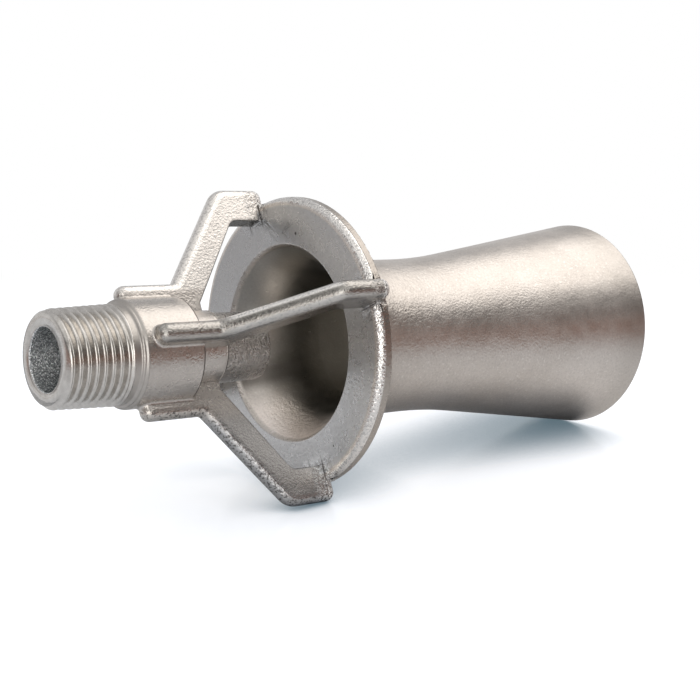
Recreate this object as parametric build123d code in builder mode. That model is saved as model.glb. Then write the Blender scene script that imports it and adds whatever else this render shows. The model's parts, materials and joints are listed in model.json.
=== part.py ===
from build123d import *
from math import acos, atan2, cos, degrees, hypot, radians, sin, tan
import os

os.makedirs("parts", exist_ok=True)

# A tank mixing eductor, cast in one piece. Liquid pumped in at the threaded inlet
# leaves the nozzle as a jet, which draws the tank's own liquid past the legs and
# into the bell, and drives both out through the diffuser.
# Lengths along the casting count from the inlet's face. Millimetres and degrees.

# Inlet: a half inch taper pipe thread, whose crests the cone follows
thread_end_radius = 10.22
thread_length = 14.5
thread_taper = 1 / 32
inlet_chamfer = 0.8
bore_radius = 6.6
bore_edge = 0.4

# The plain neck behind the thread, and the shoulder up to the barrel
thread_runout = 0.5
neck_radius = 10.5
neck_length = 1.4
shoulder_length = 1.2

# Barrel, hub and nozzle
barrel_end = 31.1
barrel_radius = 11.6
barrel_edge = 0.5
hub_end = 38.7
hub_radius = 8.3
hub_edge = 0.3
nozzle_end = 50.8
nozzle_root_radius = 7.85
nozzle_tip_radius = 7.5
nozzle_edge = 0.4
orifice_radius = 4.0
orifice_length = 4.0

# Collar and bell
collar_front = 60.3
collar_thickness = 3.6
collar_radius = 33.0
collar_edge = 0.9
mouth_radius = 22.5
mouth_edge = 0.4
bell_wall = 1.9

# Throat and diffuser
throat_start = 82.0
throat_length = 12.0
waist_radius = 18.35
throat_wall = 2.95
waist_length = 18.5
flare_bend = 120.0
outlet_end = 155.6
outlet_radius = 26.35
outlet_wall = 2.6
outlet_edge = 0.4

# The rounded rim of the collar's back and of the outlet, on which the casting lies
rim_edge = 0.5

# Legs: each stands out past the collar's rim and ends within its thickness
leg_count = 4
leg_thickness = 4.3
leg_crest = 0.3
rib_setback = 1.6
rib_rise = 3.3
rib_bend = 33.4
rib_bend_radius = 1.2
leg_slope = 53.1
leg_overhang = 4.1
leg_bend_radius = 4.9
leg_seat = 2.3
web_rise = 1.6
web_slope = 55.0
web_bend_radius = 2.5
strut_bite = 3.8
web_edge = 0.4

# Fillets where a leg joins the barrel and the collar
rib_fillet = 0.8
collar_fillet = 0.5

# Places that follow from the sizes above
neck_start = thread_length + thread_runout
neck_end = neck_start + neck_length
barrel_start = neck_end + shoulder_length
rib_start = barrel_start + rib_setback
collar_back = collar_front + collar_thickness
face_end_radius = collar_radius - collar_edge
bell_back_radius = mouth_radius + bell_wall
throat_radius = waist_radius - throat_wall
throat_end = throat_start + throat_length
flare_start = throat_start + waist_length
thread_start_radius = thread_end_radius + thread_length * thread_taper
leg_edge = (leg_thickness - leg_crest) / 2
rib_top_radius = barrel_radius + rib_rise
leg_reach = collar_radius + leg_overhang
leg_end = collar_front + leg_seat
web_start_radius = hub_radius + web_rise
strut_inner_radius = collar_radius - strut_bite
leg_bend = rib_bend + (leg_reach - rib_top_radius) / tan(radians(leg_slope))
web_bend = hub_end + (strut_inner_radius - web_start_radius) / tan(radians(web_slope))
leg_foot_radius = (bore_radius + hub_radius) / 2
lip_radius = outlet_radius - outlet_wall
edge_reach = 0.01

# At rest the rims of the collar and the outlet touch the floor, so the axis tilts
tilt = atan2(collar_radius - outlet_radius, outlet_end - collar_back)
rim_depth = (collar_back - rim_edge) * sin(tilt) + (collar_radius - rim_edge) * cos(tilt)
inlet_height = rim_depth + rim_edge

# One leg's rounded end touches too, and sets how far that leg leans from the vertical
leg_edge_height = inlet_height - (leg_end - leg_edge) * sin(tilt) - leg_edge
leg_flat = leg_thickness / 2 - leg_edge
leg_arm = hypot(leg_reach - leg_edge, leg_flat) * cos(tilt)
lean = degrees(acos(leg_edge_height / leg_arm) + atan2(leg_flat, leg_reach - leg_edge))

# The plane of the inlet's face as the casting lies, with its length centred on the origin
face_rim_radius = thread_end_radius - inlet_chamfer
half_length = (outlet_end * cos(tilt) + (outlet_radius - face_rim_radius) * sin(tilt)) / 2
rest_plane = Plane(
    origin=(-half_length, 0, inlet_height),
    x_dir=(sin(tilt), 0, cos(tilt)),
    z_dir=(cos(tilt), 0, -sin(tilt)),
)

# The solid inlet, barrel, hub and nozzle, turned about the casting's axis
with BuildPart() as inlet:
    with BuildSketch(Plane.XZ):
        with BuildLine():
            Polyline(
                (0, 0),
                (thread_end_radius, 0),
                (thread_start_radius, thread_length),
                (neck_radius, neck_start),
                (neck_radius, neck_end),
                (barrel_radius, barrel_start),
                (barrel_radius, barrel_end),
                (hub_radius, barrel_end),
                (hub_radius, hub_end),
                (nozzle_root_radius, hub_end),
                (nozzle_tip_radius, nozzle_end),
                (0, nozzle_end),
                close=True,
            )
        make_face()
    revolve(axis=Axis.Z)
    chamfer(inlet.faces().sort_by(Axis.Z)[0].edges(), length=inlet_chamfer)
    fillet(inlet.faces().sort_by(Axis.Z)[-1].edges(), radius=nozzle_edge)
    barrel_rims = inlet.edges().filter_by_position(Axis.Z, barrel_end, barrel_end)
    fillet(barrel_rims.sort_by(SortBy.RADIUS)[-1], radius=barrel_edge)
    hub_rims = inlet.edges().filter_by_position(Axis.Z, hub_end, hub_end)
    fillet(hub_rims.sort_by(SortBy.RADIUS)[-1], radius=hub_edge)


def corner_at(section, radius, length):
    """The corner of a section nearest a radius and a length along the casting."""
    return section.vertices().sort_by_distance((radius, length))[0]


def is_outer(edge):
    """Does an edge of the leg lie within a thickness of its outer side?"""
    spot = edge.center()
    rise = (spot.Z - rib_bend) * tan(radians(leg_slope))
    outer_side = min(max(rib_top_radius, rib_top_radius + rise), leg_reach)
    return spot.X > outer_side - leg_thickness


# One leg: a rib along the barrel that slants out past the nozzle and then runs
# back to the collar, with its outer side and both ends fully rounded
with BuildPart() as leg:
    with BuildSketch(Plane.XZ) as leg_outline:
        with BuildLine():
            Polyline(
                (leg_foot_radius, rib_start),
                (rib_top_radius, rib_start),
                (rib_top_radius, rib_bend),
                (leg_reach, leg_bend),
                (leg_reach, leg_end),
                (strut_inner_radius, leg_end),
                (strut_inner_radius, web_bend),
                (web_start_radius, hub_end),
                (leg_foot_radius, hub_end),
                close=True,
            )
        make_face()
        fillet(corner_at(leg_outline, rib_top_radius, rib_bend), radius=rib_bend_radius)
        fillet(corner_at(leg_outline, leg_reach, leg_bend), radius=leg_bend_radius)
        fillet(corner_at(leg_outline, strut_inner_radius, web_bend), radius=web_bend_radius)
    extrude(amount=leg_thickness / 2, both=True)
    ends = leg.edges().filter_by(Axis.Y).filter_by(is_outer).group_by(Axis.Z)
    sides = leg.edges().filter_by(Plane.XZ)
    fillet(sides.filter_by(is_outer) + ends[0] + ends[-1], radius=leg_edge)
    web_sides = leg.edges().filter_by(Plane.XZ).filter_by_position(Axis.Z, hub_end, leg_end)
    fillet(web_sides.filter_by(is_outer, reverse=True), radius=web_edge)

# Collar, bell and diffuser as one ring, open from the mouth to the outlet
with BuildPart() as diffuser:
    with BuildSketch(Plane.XZ) as ring_section:
        with BuildLine():
            TangentArc((throat_radius, throat_start), (mouth_radius, collar_front), tangent=(0, -1))
            Line((mouth_radius, collar_front), (collar_radius, collar_front))
            Line((collar_radius, collar_front), (collar_radius, collar_back))
            Line((collar_radius, collar_back), (bell_back_radius, collar_back))
            TangentArc((waist_radius, throat_start), (bell_back_radius, collar_back), tangent=(0, -1))
            Line((waist_radius, throat_start), (waist_radius, flare_start))
            Line((waist_radius, flare_start), (outlet_radius, outlet_end))
            Line((outlet_radius, outlet_end), (lip_radius, outlet_end))
            Line((lip_radius, outlet_end), (throat_radius, throat_end))
            Line((throat_radius, throat_end), (throat_radius, throat_start))
        make_face()
        fillet(corner_at(ring_section, waist_radius, flare_start), radius=flare_bend)
        fillet(corner_at(ring_section, throat_radius, throat_end), radius=flare_bend / 2)
        fillet(corner_at(ring_section, collar_radius, collar_front), radius=collar_edge)
        fillet(corner_at(ring_section, collar_radius, collar_back), radius=rim_edge)
        fillet(corner_at(ring_section, outlet_radius, outlet_end), radius=rim_edge)
        fillet(corner_at(ring_section, mouth_radius, collar_front), radius=mouth_edge)
        fillet(corner_at(ring_section, lip_radius, outlet_end), radius=outlet_edge)
    revolve(axis=Axis.Z)


def axis_distance(edge):
    """How far the middle of an edge is from the casting's axis."""
    return Vector((edge @ 0.5).X, (edge @ 0.5).Y).length


def on_barrel(edge):
    """Does an edge lie where a rib meets the barrel's side?"""
    on_side = abs(axis_distance(edge) - barrel_radius) < edge_reach
    return on_side and rib_start - edge_reach < (edge @ 0.5).Z < barrel_end - barrel_edge


def on_collar(edge):
    """Does an edge lie where a leg meets the collar's front?"""
    on_front = abs((edge @ 0.5).Z - collar_front) < edge_reach
    inside_rim = axis_distance(edge) < face_end_radius - edge_reach
    return on_front and inside_rim and axis_distance(edge) > mouth_radius + mouth_edge + edge_reach


# The whole casting, upright on its inlet
with BuildPart() as casting:
    add(inlet.part)
    add(diffuser.part)
    with PolarLocations(0, leg_count, start_angle=90 - lean):
        add(leg.part)
    # the way through the inlet narrows to the nozzle's orifice
    with BuildSketch(Plane.XZ):
        with BuildLine():
            Polyline(
                (0, 0),
                (bore_radius, 0),
                (bore_radius, barrel_end),
                (orifice_radius, nozzle_end - orifice_length),
                (orifice_radius, nozzle_end),
                (0, nozzle_end),
                close=True,
            )
        make_face()
    revolve(axis=Axis.Z, mode=Mode.SUBTRACT)
    fillet(casting.faces().sort_by(Axis.Z)[0].edges().sort_by(SortBy.RADIUS)[0], radius=bore_edge)
    fillet(casting.edges().filter_by(on_barrel), radius=rib_fillet)
    fillet(casting.edges().filter_by(on_collar), radius=collar_fillet)

# The casting laid down as it comes to rest
with BuildPart(rest_plane) as eductor:
    add(casting.part)

eductor.part.label = "eductor"
export_step(eductor.part, "parts/eductor.step")
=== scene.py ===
import json
import math
from types import SimpleNamespace

import bmesh
import bpy
import numpy as np
from mathutils import Euler, Matrix, Vector, noise


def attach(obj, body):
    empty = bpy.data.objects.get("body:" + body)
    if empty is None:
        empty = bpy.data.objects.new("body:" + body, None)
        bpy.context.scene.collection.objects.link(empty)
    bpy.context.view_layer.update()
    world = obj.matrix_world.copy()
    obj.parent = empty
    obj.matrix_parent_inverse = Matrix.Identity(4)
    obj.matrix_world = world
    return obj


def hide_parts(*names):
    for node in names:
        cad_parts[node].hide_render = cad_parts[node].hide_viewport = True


# The looks of a tank mixing eductor, cast in stainless steel. The casting keeps the
# solid's shape, and its plain cone at the inlet gives way to a cut taper thread.
# Lengths along the casting count from the inlet's face, in millimetres.

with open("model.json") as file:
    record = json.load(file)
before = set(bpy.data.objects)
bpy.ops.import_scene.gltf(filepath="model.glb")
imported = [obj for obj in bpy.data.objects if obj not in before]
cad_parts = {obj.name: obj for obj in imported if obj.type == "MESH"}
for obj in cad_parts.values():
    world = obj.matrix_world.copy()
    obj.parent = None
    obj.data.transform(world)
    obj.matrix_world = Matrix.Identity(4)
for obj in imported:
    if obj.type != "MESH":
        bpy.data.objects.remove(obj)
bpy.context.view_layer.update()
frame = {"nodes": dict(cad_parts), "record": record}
MM = 0.001

# The casting's axis and the inlet's centre, read from the record
mounts = {m["name"]: m for m in frame["record"]["mounts"]}
thread = mounts["inlet_thread"]
axis = -Vector(thread["axis"]).normalized()
thread_length = thread["dims"]["length_mm"]
inlet_centre = Vector(thread["pos_m"]) - axis * thread_length / 2 * MM


def place_along(name):
    """How far from the inlet's face the middle of a mount lies, in millimetres."""
    return round((Vector(mounts[name]["pos_m"]) - inlet_centre).dot(axis) / MM, 2)


# Places along the casting and radii that the record's mounts give
bore_radius = mounts["inlet_bore"]["dims"]["r_mm"]
nozzle_end = place_along("nozzle_orifice") + mounts["nozzle_orifice"]["dims"]["length_mm"] / 2
collar_front = place_along("collar_face")
throat_start = place_along("throat") - mounts["throat"]["dims"]["length_mm"] / 2
outlet_end = place_along("outlet_face")

# The solid's sizes that no mount gives
barrel_start = 17.6
barrel_end = 31.1
barrel_radius = 11.6
hub_end = 38.7
hub_radius = 8.3
rib_start = 19.2
rib_bend = 33.4
leg_end = 62.6
leg_half = 2.15
leg_count = 4
strut_inner = 29.2
mouth_radius = 22.5
collar_radius = 33.0

# The collar's front edge, as cast in the solid and as the blows of use have worn it
edge_cast = 0.9
edge_worn = 1.7

# The inlet's thread: a half inch taper pipe thread, cut over the solid's cone
pitch = 1.814
depth = 1.162
taper = 1 / 32
end_radius = thread["dims"]["r_mm"] - thread_length * taper / 2
face_inner = 7.0
chamfer = 0.8
first_crest = 1.13
runout_length = 0.9
crest_share = 0.12
flank_share = 0.74

# The plain neck behind the thread and the two small steps up to the barrel
neck_places = (14.6, 15.1, 16.25, 16.45, 16.55, 17.1, 17.2, 17.6)
neck_radii = (10.66, 10.50, 10.53, 10.70, 11.10, 11.16, 11.50, 11.59)

# The casting's own frame: x along its axis, z along the leg nearest the camera
tilt = math.atan2(-axis.z, axis.x)
lean = math.radians(27.515)
bench_turn = Euler((math.pi / 2 - lean, tilt, 0), "XYZ")
bench = Matrix.Translation(inlet_centre) @ bench_turn.to_matrix().to_4x4() @ Matrix.Scale(MM, 4)
to_bench = bench.inverted()


def bench_points(mesh):
    """A mesh's vertices in the casting's own frame, in millimetres."""
    flat = np.empty(len(mesh.vertices) * 3)
    mesh.vertices.foreach_get("co", flat)
    m = np.array(to_bench)
    return flat.reshape(-1, 3) @ m[:3, :3].T + m[:3, 3]


def row_points(points):
    """Points of the casting's own frame in the row frame, in metres."""
    m = np.array(bench)
    return np.asarray(points) @ m[:3, :3].T + m[:3, 3]


def new_object(name, data):
    """An object with its data, linked into the scene."""
    thing = bpy.data.objects.new(name, data)
    bpy.context.scene.collection.objects.link(thing)
    return thing


def new_piece(name, points, faces, material):
    """A smooth mesh from points of the casting's own frame, in the row frame."""
    mesh = bpy.data.meshes.new(name)
    mesh.from_pydata([tuple(p) for p in row_points(points)], [], faces)
    mesh.polygons.foreach_set("use_smooth", [True] * len(mesh.polygons))
    mesh.materials.append(material)
    return new_object(name, mesh)


def band_faces(rows, columns, closed, start=0):
    """Quads between rows of points, each row a ring, and the last joined to the first if closed."""
    faces = []
    for i in range(rows if closed else rows - 1):
        here, there = start + i * columns, start + (i + 1) % rows * columns
        for j in range(columns):
            k = (j + 1) % columns
            faces.append((here + j, here + k, there + k, there + j))
    return faces


class Tree:
    """A short way to write the shader nodes of a material or a world."""

    def __init__(self, owner):
        owner.use_nodes = True
        self.nodes = owner.node_tree.nodes
        self.links = owner.node_tree.links
        self.nodes.clear()

    def add(self, kind, inputs=None, **settings):
        node = self.nodes.new(kind)
        for key, value in settings.items():
            setattr(node, key, value)
        for key, value in (inputs or {}).items():
            self.put(node.inputs[key], value)
        return node

    def put(self, socket, value):
        if isinstance(value, bpy.types.NodeSocket):
            self.links.new(value, socket)
        elif isinstance(value, bpy.types.Node):
            self.links.new(value.outputs[0], socket)
        else:
            socket.default_value = value

    def math(self, operation, a, b=0.0, c=0.0):
        node = self.add("ShaderNodeMath", operation=operation)
        for socket, value in zip(node.inputs, (a, b, c)):
            self.put(socket, value)
        return node.outputs[0]

    def total(self, *terms):
        """A sum of values, each given alone or with its share."""
        result = None
        for term in terms:
            value = self.math("MULTIPLY", *term) if isinstance(term, tuple) else term
            result = value if result is None else self.math("ADD", result, value)
        return result

    def product(self, *values):
        result = values[0]
        for value in values[1:]:
            result = self.math("MULTIPLY", result, value)
        return result

    def highest(self, *values):
        result = values[0]
        for value in values[1:]:
            result = self.math("MAXIMUM", result, value)
        return result

    def tint(self, colour, tints):
        """A colour drawn toward others in turn, each with its mask and its strength."""
        for share, strength, target in tints:
            target = target if isinstance(target, bpy.types.NodeSocket) else (*target, 1)
            colour = self.mix(self.math("MULTIPLY", share, strength), colour, target)
        return colour

    def remap(self, value, low, high, to_low=0.0, to_high=1.0):
        node = self.add("ShaderNodeMapRange", interpolation_type="SMOOTHSTEP")
        for socket, item in zip(node.inputs, (value, low, high, to_low, to_high)):
            self.put(socket, item)
        return node.outputs[0]

    def within(self, value, low, high, soft):
        """1 between low and high, falling to 0 over a soft edge on each side."""
        rise = self.remap(value, low - soft, low + soft)
        return self.math("MULTIPLY", rise, self.remap(value, high - soft, high + soft, 1.0, 0.0))

    def near(self, place, centre, inner, outer):
        """1 next to a point of the casting's own frame, falling to 0."""
        gap = self.add("ShaderNodeVectorMath", {0: place, 1: centre}, operation="DISTANCE")
        return self.remap(gap.outputs["Value"], inner, outer, 1.0, 0.0)

    def dot(self, place, direction):
        node = self.add("ShaderNodeVectorMath", {0: place, 1: direction}, operation="DOT_PRODUCT")
        return node.outputs["Value"]

    def noise(self, place, scale, detail=4.0, roughness=0.55):
        inputs = {"Vector": place, "Scale": scale, "Detail": detail, "Roughness": roughness}
        return self.add("ShaderNodeTexNoise", inputs).outputs["Fac"]

    def mix(self, share, a, b):
        node = self.add("ShaderNodeMix", data_type="RGBA")
        self.put(node.inputs["Factor"], share)
        self.put(node.inputs[6], a)
        self.put(node.inputs[7], b)
        return node.outputs[2]

    def bench_place(self):
        """Shader coordinates in the casting's own frame, in millimetres."""
        coords = self.add("ShaderNodeTexCoord")
        inputs = {"Vector": coords.outputs["Object"], "Location": inlet_centre,
                  "Rotation": bench_turn, "Scale": (MM, MM, MM)}
        return self.add("ShaderNodeMapping", inputs, vector_type="TEXTURE").outputs[0]

    def metal(self, colour, rough, bumps):
        """Bare metal, with bumps given as height, strength and distance in metres."""
        normal = None
        for height, strength, distance in bumps:
            inputs = {"Strength": strength, "Distance": distance, "Height": height}
            if normal is not None:
                inputs["Normal"] = normal
            normal = self.add("ShaderNodeBump", inputs)
        inputs = {"Base Color": colour, "Metallic": 1.0, "Roughness": rough, "Normal": normal}
        surface = self.add("ShaderNodeBsdfPrincipled", inputs)
        self.add("ShaderNodeOutputMaterial", {"Surface": surface})


def leg_masks(t, m):
    """The legs, their rounded outer ridges, and the rough seams where they meet the collar."""
    off_face = t.highest(t.remap(m.along, collar_front - 0.3, collar_front - 0.1, 1.0, 0.0),
                         t.remap(m.reach, strut_inner - 0.3, strut_inner))
    on_leg = t.product(t.within(m.along, rib_start - 0.4, leg_end + 0.4, 0.3),
                       t.remap(m.reach, barrel_radius, barrel_radius + 0.6), off_face)
    m.leg = t.product(on_leg, t.remap(m.offset, leg_half - 0.15, leg_half + 0.25, 1.0, 0.0))
    m.ridge = t.product(on_leg, t.remap(m.offset, leg_half - 0.25, leg_half, 1.0, 0.0))
    m.crest = t.product(m.ridge, t.remap(m.offset, leg_half - 0.65, leg_half - 0.25, 1.0, 0.0))
    m.seam = t.product(t.within(m.along, collar_front - 2.8, collar_front + 4.2, 0.8),
                       t.remap(m.reach, 26.5, 29.5), t.remap(m.offset, 3.5, 6.0, 1.0, 0.0))

    # the leg nearest the camera, darkened with painted shade, with painted bands of highlight and
    # shade where it slants
    m.near_leg = t.product(m.leg, t.remap(m.up, 12.0, 14.0))
    slant = t.product(m.near_leg, t.within(m.along, rib_bend + 1.6, nozzle_end - 0.8, 1.0))
    m.bright_edge = t.product(slant, t.remap(m.across, 0.6, 1.05))
    m.worn_side = t.product(slant, t.remap(m.across, -0.75, -1.2))
    m.dull_middle = t.product(slant, t.within(m.across, -0.35, 0.6, 0.35))

    # the upper leg with a painted highlight, the lower face of its strut with painted shade, and the
    # lower leg with painted shade
    m.upper_leg = t.product(m.leg, t.remap(m.across, 12.0, 14.0))
    m.underside = t.product(m.leg, t.within(m.across, strut_inner - 1.0, strut_inner + 0.5, 0.3),
                            t.within(m.along, collar_front - 9.3, collar_front - 0.5, 0.8),
                            t.remap(m.offset, leg_half - 0.1, leg_half - 0.35))
    m.lower_leg = t.product(m.leg, t.remap(m.across, -14.0, -18.0))
    m.low_ridge = t.product(m.ridge, t.remap(m.across, -12.0, -14.0))
    m.low_seam = t.product(m.seam, t.remap(m.across, -22.0, -25.0))


def inlet_masks(t, m):
    """The barrel with the hub and the nozzle, the nozzle alone, and the bore."""
    m.body = t.product(t.remap(m.along, nozzle_end + 1.2, nozzle_end - 0.8),
                       t.remap(m.leg, 0.0, 1.0, 1.0, 0.0))
    m.nozzle = t.product(t.within(m.along, hub_end + 0.3, nozzle_end + 0.7, 0.4),
                         t.remap(m.radius, hub_radius + 0.3, hub_radius + 0.7, 1.0, 0.0))
    m.bore = t.product(t.remap(m.radius, bore_radius + 0.15, bore_radius + 0.25, 1.0, 0.0),
                       t.remap(m.along, barrel_end + 0.9, barrel_end + 2.9, 1.0, 0.0))


def collar_masks(t, m):
    """The collar's face, its worn front edge and its side: the colour paints a glint on the edge and
    shade on the side.
    """
    m.face = t.product(t.within(m.along, collar_front - 0.7, collar_front + 0.5, 0.2),
                       t.within(m.radius, mouth_radius, collar_radius - 1.8, 0.3))
    m.calm = t.product(m.face, t.remap(m.across, -14.0, 8.0))
    m.worn_rim = t.product(t.within(m.along, collar_front + 0.1, collar_front + 1.6, 0.12),
                           t.remap(m.radius, collar_radius - edge_worn, collar_radius - 1.3))
    m.rim_side = t.product(t.within(m.along, collar_front + 1.6, collar_front + 3.5, 0.2),
                           t.remap(m.radius, collar_radius - 0.3, collar_radius - 0.1),
                           t.remap(m.offset, leg_half + 0.35, leg_half + 1.05))


def wall_masks(t, m):
    """The diffuser's outer wall, and the bell and the diffuser inside."""
    bell_share = t.math("POWER", t.remap(m.along, collar_front + 1.7, throat_start, 1.0, 0.0), 1.5)
    middle = t.total(16.9, (bell_share, 6.3), (t.remap(m.along, 96.0, 158.0), 8.4))
    m.inside = t.product(t.math("LESS_THAN", m.radius, middle),
                         t.within(m.along, collar_front + 0.9, outlet_end - 0.8, 0.4))
    m.shell = t.product(t.remap(m.along, 64.0, 65.0), t.remap(m.inside, 0.0, 1.0, 1.0, 0.0))
    # painted shade: the outer wall darker toward the outlet
    m.outlet = t.product(m.shell, t.remap(m.along, 143.0, 153.0))

    # painted light in the bell: painted shade on its wall above and behind the nozzle, a painted
    # highlight on its wall below, and painted shade deep in the bell and on its near wall
    bell = t.product(m.inside, t.remap(m.along, 66.0, 80.0, 1.0, 0.0))
    m.high_wall = t.product(bell, t.remap(m.across, 6.0, 16.0))
    m.low_wall = t.product(m.inside, t.remap(m.along, 73.0, 68.0), t.remap(m.across, -5.0, -12.0))
    m.behind = t.product(bell, t.remap(m.up, -10.0, -13.0), t.within(m.across, -4.6, 0.5, 1.8))
    near_side = t.remap(t.total((m.across, 0.216), (m.up, 0.976)), 2.0, 13.0)
    near_wall = t.product(m.inside, near_side, t.remap(m.along, 60.5, 68.0, 0.6, 1.0))
    m.shade = t.highest(near_wall, t.product(m.inside, t.within(m.along, 70.0, 128.0, 10.0)))


def casting_masks(t, place):
    """Where each part of the casting is: masks from 0 outside a part to 1 inside it."""
    along, across, up = t.add("ShaderNodeSeparateXYZ", {"Vector": place}).outputs
    a, b = t.math("ABSOLUTE", across), t.math("ABSOLUTE", up)
    radius = t.math("SQRT", t.total((across, across), (up, up)))
    m = SimpleNamespace(along=along, across=across, up=up, radius=radius,
                        reach=t.math("MAXIMUM", a, b), offset=t.math("MINIMUM", a, b))
    for part_masks in (leg_masks, inlet_masks, collar_masks, wall_masks):
        part_masks(t, m)
    return m


def casting_patterns(t, place):
    """The noises that the casting's colour, sheen and relief share."""
    n = SimpleNamespace(blotch=t.noise(place, 0.07, 3.0, 0.5), cloud=t.noise(place, 0.35, 4.0, 0.6),
                        grain=t.noise(place, 1.9, 1.0, 0.5), fine=t.noise(place, 4.5, 2.0, 0.5),
                        crumple=t.noise(place, 1.05, 3.0, 0.6))
    n.speck = t.remap(n.grain, 0.62, 0.74)
    n.pore = t.remap(t.noise(place, 2.4, 2.0, 0.5), 0.66, 0.74)
    n.glint = t.remap(t.noise(place, 2.6, 1.0, 0.5), 0.45, 0.60)
    return n


def pit_marks(t, place):
    """A few pits, one larger, on the collar's face and the diffuser."""
    pits = t.near(place, (collar_front, 21.4, 13.12), 0.30, 0.45)
    for spot in ((collar_front, -26.46, 7.71), (81.8, 0.2, 18.35), (collar_front, 9.0, -26.0)):
        pits = t.highest(pits, t.near(place, spot, 0.15, 0.26))
    return pits


def dark_marks(t, m, n):
    """Painted shade in the crevices and pits, and painted shadow lines at the barrel's and the hub's
    ends.
    """
    ragged = t.total(m.along, (t.math("SUBTRACT", n.cloud, 0.5), 0.45))
    crease = t.product(t.within(ragged, barrel_end - 0.48, barrel_end - 0.02, 0.10),
                       t.remap(m.radius, barrel_radius - 0.7, barrel_radius - 0.5),
                       t.remap(m.offset, leg_half + 0.45, leg_half + 0.85))
    hub_line = t.product(t.within(ragged, hub_end + 0.42, hub_end + 0.66, 0.10),
                         t.remap(m.radius, hub_radius + 0.7, hub_radius + 0.3))
    root = t.product(m.seam, t.within(m.offset, leg_half + 0.05, leg_half + 0.4, 0.15),
                     t.within(m.along, collar_front - 0.3, collar_front + 0.4, 0.2))
    openness = t.add("ShaderNodeAmbientOcclusion", {"Distance": 0.0014}, samples=6).outputs["AO"]
    crevice = t.remap(openness, 0.25, 0.80, 0.75, 0.0)
    return t.highest(crease, hub_line, root, m.pits, crevice)


def casting_colour(t, m, n, dark):
    """Warm grey with brighter specks and darker spots that partly paint sparkle, each part's own
    tint, and highlights, glints and shade painted on many parts.
    """
    tone = t.remap(t.total((n.blotch, 0.7), (n.cloud, 0.3)), 0.35, 0.65)
    colour = t.mix(tone, (0.575, 0.532, 0.49, 1), (0.65, 0.607, 0.565, 1))
    # painted shade on the collar's face: cool grey, darker toward the top
    ground = t.mix(t.remap(m.across, -22.0, 22.0), (0.60, 0.605, 0.61, 1), (0.42, 0.425, 0.43, 1))
    # painted glints: the bore's sparkle painted as bright specks on grey
    blasted = t.mix(n.glint, (0.45, 0.47, 0.475, 1), (0.98, 1, 1, 1))
    spotted = t.total(0.10, (m.leg, 0.05), (m.ridge, 0.15), (m.low_ridge, 0.6), (m.nozzle, 0.25),
                      (m.seam, 0.30), (m.worn_rim, 0.2), (m.shade, -0.1))
    return t.tint(colour, (
        # bright specks in the grain, partly painted glints
        (n.speck, 0.4, (0.84, 0.81, 0.77)),
        (m.body, 0.8, (0.53, 0.495, 0.46)),
        # painted shade over the nearest leg, and painted bands of highlight and shade where it
        # slants
        (m.near_leg, 1.0, (0.27, 0.26, 0.245)),
        (m.crest, 0.7, (0.55, 0.525, 0.49)),
        (m.bright_edge, 0.9, (0.95, 0.925, 0.89)),
        (m.worn_side, 0.7, (0.60, 0.585, 0.56)),
        (m.dull_middle, 0.75, (0.20, 0.195, 0.18)),
        # painted highlight on the upper leg
        (m.upper_leg, 1.0, (0.85, 0.815, 0.775)),
        (n.pore, 0.15, (0.30, 0.27, 0.25)),
        # painted shade on the lower leg
        (m.lower_leg, 0.8, (0.50, 0.505, 0.51)),
        (m.face, 0.85, ground),
        (m.bore, 1.0, blasted),
        # painted glint on the collar's worn rim, and painted shade on its side
        (m.worn_rim, 0.7, (0.90, 0.885, 0.86)),
        (m.rim_side, 0.7, (0.34, 0.305, 0.27)),
        # painted shade toward the outlet
        (m.outlet, 0.5, (0.44, 0.41, 0.375)),
        # painted shade and highlight in the bell, and painted shade behind the nozzle
        (m.shade, 0.55, (0.15, 0.155, 0.125)),
        (m.high_wall, 0.6, (0.30, 0.30, 0.28)),
        (m.low_wall, 1.0, (1.0, 0.92, 0.86)),
        (m.behind, 0.8, (0.13, 0.115, 0.10)),
        (m.nozzle, 0.45, (0.36, 0.34, 0.32)),
        # painted glints on the lower leg's seam
        (t.product(m.low_seam, n.glint), 0.75, (0.88, 0.91, 0.92)),
        # painted shade under the upper leg's strut
        (m.underside, 0.8, (0.11, 0.11, 0.09)),
        # dark spots in the grain, partly painted shade between glints
        (t.remap(n.grain, 0.47, 0.36), spotted, (0.12, 0.115, 0.11)),
        # painted shade in the crevices and pits, and painted shadow lines
        (dark, 0.85, (0.05, 0.04, 0.035)),
    ))


def casting_sheen(t, m, n, dark):
    """Roughness: lower where the legs, the seams and the collar's edge are worn bright."""
    return t.total(t.remap(n.cloud, 0.3, 0.7, 0.25, 0.33), (n.speck, -0.05), (m.leg, -0.08),
                   (m.ridge, -0.08), (m.seam, -0.06), (m.worn_rim, -0.14), (m.bore, -0.04),
                   (m.shell, 0.07), (m.inside, 0.06), (dark, 0.25))


def fine_relief(t, m, n):
    """The blasted grain, rings on the nozzle, and the pits."""
    ring_place = t.add("ShaderNodeCombineXYZ", {"X": t.math("MULTIPLY", m.along, 2.6),
                                                "Y": t.math("MULTIPLY", n.cloud, 1.6)})
    rings = t.noise(ring_place, 1.0, 2.0, 0.5)
    smooth_end = t.remap(t.total(m.along, (n.blotch, 30.0)), 135.0, 155.0)
    amount = t.total(1.3, (smooth_end, -0.9), (m.ridge, 0.5), (m.nozzle, 2.4), (m.bore, 4.0),
                     (m.calm, -0.8), (m.seam, 0.8), (m.worn_rim, 2.5), (m.inside, -1.0),
                     (m.low_wall, 0.9), (m.shell, -0.15), (m.leg, -0.4))
    blend = t.total((n.grain, t.remap(m.bore, 0.0, 1.0, 0.85, 0.35)),
                    (n.fine, t.remap(t.highest(m.leg, m.bore), 0.0, 1.0, 0.15, 0.8)))
    return t.total(t.product(blend, amount), (t.product(m.nozzle, rings), 0.9), (m.pits, -1.5))


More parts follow.
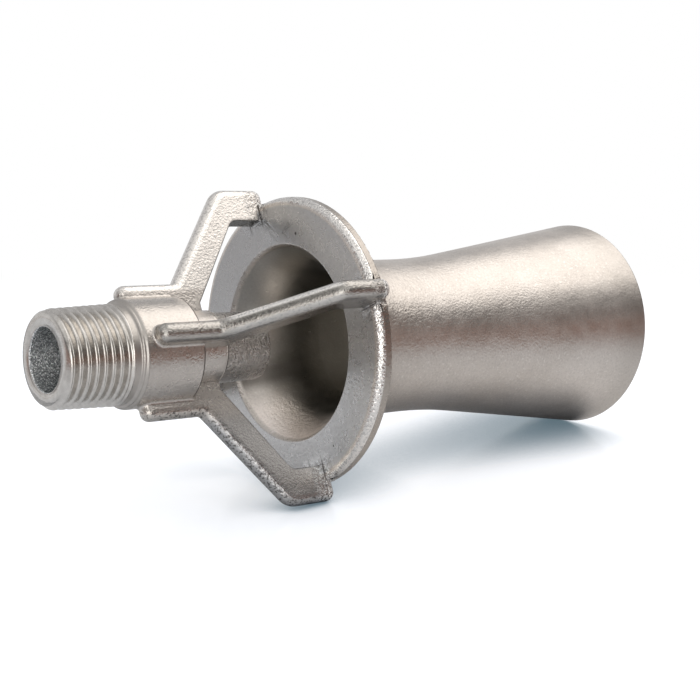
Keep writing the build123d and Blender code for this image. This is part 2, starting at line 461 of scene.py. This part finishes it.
def coarse_relief(t, place, m, n):
    """Crumpled seams and skin, soft waves, and grinding scratches on the collar's face."""
    scratch_place = t.add("ShaderNodeCombineXYZ", {"X": t.total((m.across, 1.3), (m.up, 1.83)),
                                                   "Y": t.total((m.across, -0.12), (m.up, 0.09))})
    scratched = t.near(place, (collar_front, 24.9, 5.4), 1.5, 5.0)
    scratches = t.product(t.noise(scratch_place, 1.0, 1.0, 0.4), scratched)
    skin = t.product(m.shell, t.remap(m.along, 70.0, 120.0, 0.45, 0.05))
    crumpled = t.total((m.seam, 1.6), (m.ridge, 0.3), (m.low_ridge, 0.6), (m.nozzle, 1.3),
                       (m.low_wall, 0.7), skin)
    waves = t.remap(t.highest(m.inside, m.bore), 0.0, 1.0, 0.45, 0.0)
    return t.total((crumpled, n.crumple), (scratches, 0.8), (n.cloud, waves))


def cast_steel():
    """Blasted stainless steel: fine grain, soft blotches, worn bright on the ridges, with
    highlights, glints and shade painted into its colour.
    """
    material = bpy.data.materials.new("cast_steel")
    t = Tree(material)
    place = t.bench_place()
    m = casting_masks(t, place)
    m.pits = pit_marks(t, place)
    n = casting_patterns(t, place)
    # painted shade in the crevices and pits, and painted shadow lines at the barrel's and the hub's
    # ends
    dark = dark_marks(t, m, n)
    bumps = [(fine_relief(t, m, n), 0.6, 0.00012), (coarse_relief(t, place, m, n), 0.35, 0.0006)]
    t.metal(casting_colour(t, m, n, dark), casting_sheen(t, m, n, dark), bumps)
    return material


def cut_steel():
    """Steel turned on a lathe: fine rings round the axis, smoother than the casting."""
    material = bpy.data.materials.new("cut_steel")
    t = Tree(material)
    place = t.bench_place()
    cloud = t.noise(place, 0.6, 4.0, 0.6)
    along = t.add("ShaderNodeSeparateXYZ", {"Vector": place}).outputs[0]
    ring_place = t.add("ShaderNodeCombineXYZ", {"X": t.math("MULTIPLY", along, 6.0),
                                                "Y": t.math("MULTIPLY", cloud, 0.6)})
    rings = t.noise(ring_place, 1.0, 3.0, 0.6)
    grain = t.noise(place, 2.6, 3.0, 0.6)
    colour = t.mix(t.remap(cloud, 0.3, 0.7), (0.56, 0.535, 0.50, 1), (0.68, 0.655, 0.62, 1))
    neck = t.remap(along, thread_length + 0.1, thread_length + 0.7)
    colour = t.mix(t.math("MULTIPLY", neck, 0.65), colour, (0.42, 0.39, 0.36, 1))
    rough = t.total(t.remap(grain, 0.3, 0.7, 0.16, 0.27), (neck, 0.16))
    t.metal(colour, rough, [(t.total((rings, 0.5), (grain, 0.5)), 0.35, 0.0001)])
    return material


steel = cast_steel()
turned = cut_steel()


def groove_share(turn):
    """How deep the groove is, from 0 at a crest to 1 at a root, at a share of a turn."""
    share = np.abs((turn % 1.0) - 0.5) * 2
    flank = np.clip((share - crest_share) / flank_share, 0, 1)
    return 0.75 * flank + 0.25 * (0.5 - 0.5 * np.cos(np.pi * flank))


def thread_radius(s, angles):
    """The radius round the inlet at a length: the groove running out, or the plain neck."""
    if s > neck_places[0]:
        return np.full(len(angles), np.interp(s, neck_places, neck_radii))
    turn = (s - first_crest) / pitch - angles / (2 * math.pi)
    fade = np.clip((neck_places[0] - s) / runout_length, 0, 1)
    groove = end_radius + taper * s - depth * groove_share(turn) * fade
    return np.minimum(groove, end_radius - chamfer + s)


def thread_piece():
    """The inlet's face, its thread cut as a helix, and the neck up to the barrel."""
    around, per_pitch = 288, 12
    angles = np.arange(around) * 2 * math.pi / around

    # the face stands a hair behind the solid's, with a lip that covers the join inside
    set_back = 0.003
    rows = [(0.15, np.full(around, face_inner - 0.06)), (set_back, np.full(around, face_inner))]
    for s in np.arange(set_back, barrel_start + 0.001, pitch / per_pitch):
        rows.append((s, thread_radius(s, angles)))

    # the last rows tuck in under the barrel's surface
    rows.append((barrel_start + 0.05, np.full(around, barrel_radius - 0.01)))
    rows.append((barrel_start + 0.3, np.full(around, barrel_radius - 0.5)))
    points = [np.stack([np.full(around, s), radius * np.cos(angles), radius * np.sin(angles)], 1)
              for s, radius in rows]
    faces = band_faces(len(rows), around, closed=False)
    return new_piece("inlet_thread", np.concatenate(points), faces, turned)


def worn_edge(points):
    """The points on the collar's front edge, and where a wider rounding puts them."""
    slack = 0.01
    radius = np.hypot(points[:, 1], points[:, 2])
    out, back = radius - (collar_radius - edge_cast), collar_front + edge_cast - points[:, 0]
    on_arc = np.abs(np.hypot(out, back) - edge_cast) < 2 * slack
    on_edge = (out > -slack) & (back > -slack) & on_arc
    slant = np.arctan2(out[on_edge], back[on_edge])
    worn = points[on_edge]
    share = (collar_radius - edge_worn + edge_worn * np.sin(slant)) / radius[on_edge]
    worn[:, 1:] *= share[:, None]
    worn[:, 0] = collar_front + edge_worn * (1 - np.cos(slant))
    return np.flatnonzero(on_edge), row_points(worn)


def casting_piece():
    """The solid's own surface without the inlet's face, chamfer, cone, neck and shoulder."""
    mesh = frame["nodes"]["eductor"].data.copy()
    mesh.name = "casting"
    where = bench_points(mesh)
    for index, point in zip(*worn_edge(where)):
        mesh.vertices[int(index)].co = point
    bm = bmesh.new()
    bm.from_mesh(mesh)
    gone = []
    for face in bm.faces:
        centre = sum((Vector(where[v.index]) for v in face.verts), Vector()) / len(face.verts)
        if centre.x < barrel_start and Vector((centre.y, centre.z)).length > face_inner:
            gone.append(face)
    bmesh.ops.delete(bm, geom=gone, context="FACES")
    bm.to_mesh(mesh)
    bm.free()
    mesh.materials.clear()
    mesh.materials.append(steel)
    return new_object("casting", mesh)


def rough_ball():
    """The points and faces of a small ball, for the lumps of the seams."""
    bm = bmesh.new()
    bmesh.ops.create_icosphere(bm, subdivisions=2, radius=1.0)
    points = np.array([v.co[:] for v in bm.verts])
    faces = [tuple(v.index for v in face.verts) for face in bm.faces]
    bm.free()
    return points, faces


ball_points, ball_faces = rough_ball()


def add_lump(points, faces, centre, size):
    """A rough ball bent by noise, added to the points and faces of a growing mesh."""
    start = sum(len(p) for p in points)
    bend = np.array([noise.noise(Vector(p * 1.3 + centre)) for p in ball_points])
    points.append(centre + ball_points * np.array(size) * (1 + 0.45 * bend)[:, None])
    faces.extend(tuple(start + i for i in face) for face in ball_faces)


def add_seams(points, faces):
    """Lumps along both sides of each leg, on the collar's face and over its edge."""
    chance = np.random.RandomState(11)
    for turn in np.arange(leg_count) * 2 * math.pi / leg_count:
        out = np.array([0, math.cos(turn), math.sin(turn)])
        side = np.array([0, -out[2], out[1]])
        for sign in (-1, 1):
            for radius in collar_radius - 3.4 + 0.42 * np.arange(8):
                jitter = chance.uniform(-0.12, 0.12, 3)
                centre = out * (radius + jitter[0]) + side * sign * (leg_half + 0.12 * jitter[1])
                centre[0] = collar_front + 0.02 + jitter[2]
                add_lump(points, faces, centre, chance.uniform(0.20, 0.48, 3))
            for s in collar_front + 0.6 + 0.45 * np.arange(5):
                jitter = chance.uniform(-0.1, 0.1, 3)
                edge = collar_radius - 0.15 + jitter[0]
                centre = out * edge + side * sign * (leg_half + 0.15 * jitter[1])
                centre[0] = s + jitter[2]
                add_lump(points, faces, centre, chance.uniform(0.18, 0.40, 3))


def add_burr(points, faces):
    """An uneven burr round the hub's end."""
    around, section = 240, 8
    start = sum(len(p) for p in points)
    ring = []
    for v in np.arange(around) * 2 * math.pi / around:
        thick = 0.15 + 0.09 * noise.noise(Vector((9 * math.cos(v), 9 * math.sin(v), 3)))
        for w in np.arange(section) * 2 * math.pi / section:
            r = hub_radius - 0.08 + thick * math.cos(w)
            ring.append((hub_end - 0.04 + thick * math.sin(w), r * math.cos(v), r * math.sin(v)))
    points.append(np.array(ring))
    faces.extend(band_faces(around, section, closed=True, start=start))


def seam_piece():
    """Rough lumps where the legs meet the collar, and the burr on the hub's end."""
    points, faces = [], []
    add_seams(points, faces)
    add_burr(points, faces)
    return new_piece("seams", np.concatenate(points), faces, steel)


casting = casting_piece()
for piece in (casting, thread_piece(), seam_piece()):
    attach(piece, "root")
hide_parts("eductor")


def floor_material():
    """A pale glossy table: white to the camera where nothing shades it, dimmer far away and in
    front, with painted shade where the casting stands close over it.
    """
    material = bpy.data.materials.new("floor")
    t = Tree(material)
    for_camera = t.add("ShaderNodeLightPath").outputs["Is Camera Ray"]
    place = t.add("ShaderNodeTexCoord").outputs["Object"]
    distance = t.add("ShaderNodeVectorMath", {0: place}, operation="LENGTH").outputs["Value"]
    # painted shade: where the casting closes over the table, it darkens in the colour the metal sees
    # and in the glow the camera sees
    openness = t.add("ShaderNodeAmbientOcclusion", {"Distance": 0.022}, samples=8).outputs["AO"]
    colour = t.mix(for_camera, (0.98, 0.925, 0.86, 1), (0.66, 0.66, 0.67, 1))
    # painted shade: the table grows darker far away and in front of the casting, mostly as the metal
    # sees it
    colour = t.mix(t.remap(distance, 0.35, 0.90), colour, (0.42, 0.31, 0.27, 1))
    in_front = t.remap(t.dot(place, (0.65, -0.76, 0)), 0.10, 0.32)
    colour = t.mix(in_front, colour, (0.34, 0.235, 0.20, 1))
    colour = t.mix(t.remap(openness, 0.1, 0.85), (0.32, 0.34, 0.36, 1), colour)
    table = t.add("ShaderNodeBsdfPrincipled", {"Base Color": colour, "Roughness": 0.16, "IOR": 1.45})
    lift = t.mix(t.remap(openness, 0.15, 0.95), (0.10, 0.15, 0.18, 1), (0.64, 0.64, 0.64, 1))
    glow = t.add("ShaderNodeEmission", {"Color": lift, "Strength": for_camera})
    lit = t.add("ShaderNodeAddShader", {0: table, 1: glow})
    white = t.add("ShaderNodeEmission", {"Color": (1, 1, 1, 1), "Strength": 1.0})
    share = t.math("MULTIPLY", for_camera, t.remap(distance, 0.16, 0.34))
    surface = t.add("ShaderNodeMixShader", {0: share, 1: lit, 2: white})
    t.add("ShaderNodeOutputMaterial", {"Surface": surface})
    return material


floor_mesh = bpy.data.meshes.new("floor")
floor_mesh.from_pydata([(-3, -3, 0), (3, -3, 0), (3, 3, 0), (-3, 3, 0)], [], [(0, 1, 2, 3)])
floor_mesh.materials.append(floor_material())
floor = new_object("floor", floor_mesh)

# One large soft lamp over the right shoulder of the casting
light = bpy.data.lights.new("main_light", "AREA")
light.shape = "DISK"
light.size = 1.05
light.energy = 3.05
light.color = (1.0, 0.95, 0.90)
lamp = new_object("main_light", light)
lamp.location = (0.60, -0.10, 0.79)
lamp.rotation_euler = (-lamp.location).to_track_quat("-Z", "Y").to_euler()

# The room round the table: dim in front, a bright window at the front left, brighter
# above and behind, white where the camera sees it, and cool where it fills the shadows
world = bpy.data.worlds.new("studio")
bpy.context.scene.world = world
room = Tree(world)
ray = room.add("ShaderNodeTexCoord").outputs["Generated"]
behind = room.dot(ray, (0.10, 0.995, 0.0))
window = room.dot(ray, Vector((-0.66, -0.72, 0.20)).normalized())
height = room.add("ShaderNodeSeparateXYZ", {0: ray}).outputs["Z"]
front = room.mix(room.remap(height, 0.02, 0.25), (0.38, 0.24, 0.20, 1), (0.17, 0.165, 0.165, 1))
front = room.mix(room.remap(height, 0.35, 0.80), front, (0.95, 0.94, 0.93, 1))
back = room.mix(room.remap(height, 0.10, 0.45), (0.78, 0.78, 0.79, 1), (0.56, 0.56, 0.57, 1))
tone = room.mix(room.remap(behind, -0.1, 0.8), front, back)
tone = room.mix(room.remap(window, 0.88, 0.975), tone, (2.4, 2.37, 2.32, 1))
path = room.add("ShaderNodeLightPath")
tone = room.mix(path.outputs["Is Diffuse Ray"], tone, (0.56, 0.63, 0.74, 1))
seen = room.mix(path.outputs["Is Camera Ray"], tone, (1, 1, 1, 1))
background = room.add("ShaderNodeBackground", {"Color": seen, "Strength": 1.0})
room.add("ShaderNodeOutputWorld", {"Surface": background})

# The camera, at the photograph's angle
camera_data = bpy.data.cameras.new("camera")
camera_data.sensor_width = 36
camera_data.lens = 72.726
camera_data.clip_start = 0.01
camera = new_object("camera", camera_data)
camera.location = (-0.20624, -0.2524, 0.09683)
camera.rotation_euler = [math.radians(v) for v in (78.263, 0.099, -39.389)]
bpy.context.scene.camera = camera
bpy.context.scene.view_settings.view_transform = "Standard"
